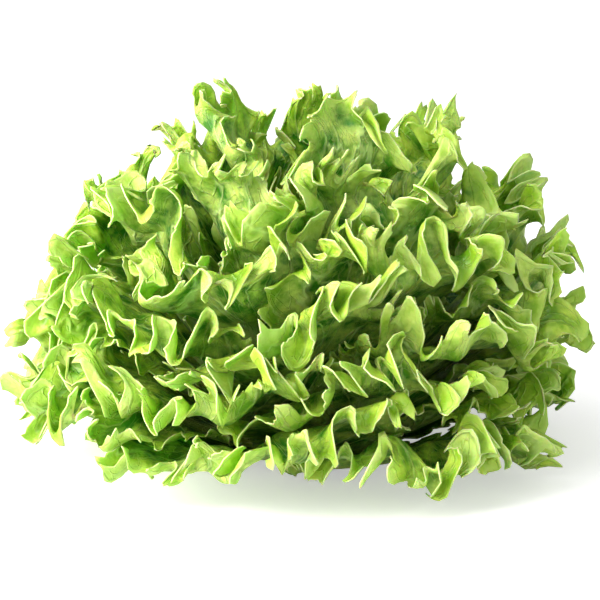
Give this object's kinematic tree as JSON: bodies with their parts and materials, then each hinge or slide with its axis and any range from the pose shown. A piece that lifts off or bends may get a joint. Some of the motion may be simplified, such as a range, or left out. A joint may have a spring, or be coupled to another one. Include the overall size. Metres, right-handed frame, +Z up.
{
  "type": "lettuce head",
  "caption": "Head of green leaf lettuce: frilly, curled leaves in a loose rosette round a short cut stem that it stands on.",
  "frame": {"origin": "centre of the stem's flat cut, which the head stands on", "axes": "+Z up along the stem, -Y towards the side that the picture shows, +X to its right"},
  "size_m": [0.2925, 0.2996, 0.1885],
  "materials": {
    "leaf green": "satin, moist leaf",
    "stem": "matt, pale cut stem"
  },
  "bodies": {
    "root": {"leaf_01": "leaf green", "leaf_02": "leaf green", "leaf_03": "leaf green", "leaf_04": "leaf green", "leaf_05": "leaf green", "leaf_06": "leaf green", "leaf_07": "leaf green", "leaf_08": "leaf green", "leaf_09": "leaf green", "leaf_10": "leaf green", "leaf_11": "leaf green", "leaf_12": "leaf green", "leaf_13": "leaf green", "leaf_14": "leaf green", "leaf_15": "leaf green", "leaf_16": "leaf green", "leaf_17": "leaf green", "leaf_18": "leaf green", "leaf_19": "leaf green", "leaf_20": "leaf green", "leaf_21": "leaf green", "leaf_22": "leaf green", "leaf_23": "leaf green", "leaf_24": "leaf green", "leaf_25": "leaf green", "leaf_26": "leaf green", "leaf_27": "leaf green", "leaf_28": "leaf green", "leaf_29": "leaf green", "leaf_30": "leaf green", "leaf_31": "leaf green", "leaf_32": "leaf green", "leaf_33": "leaf green", "leaf_34": "leaf green", "leaf_35": "leaf green", "leaf_36": "leaf green", "leaf_37": "leaf green", "leaf_38": "leaf green", "stem": "stem"}
  },
  "joints": []
}
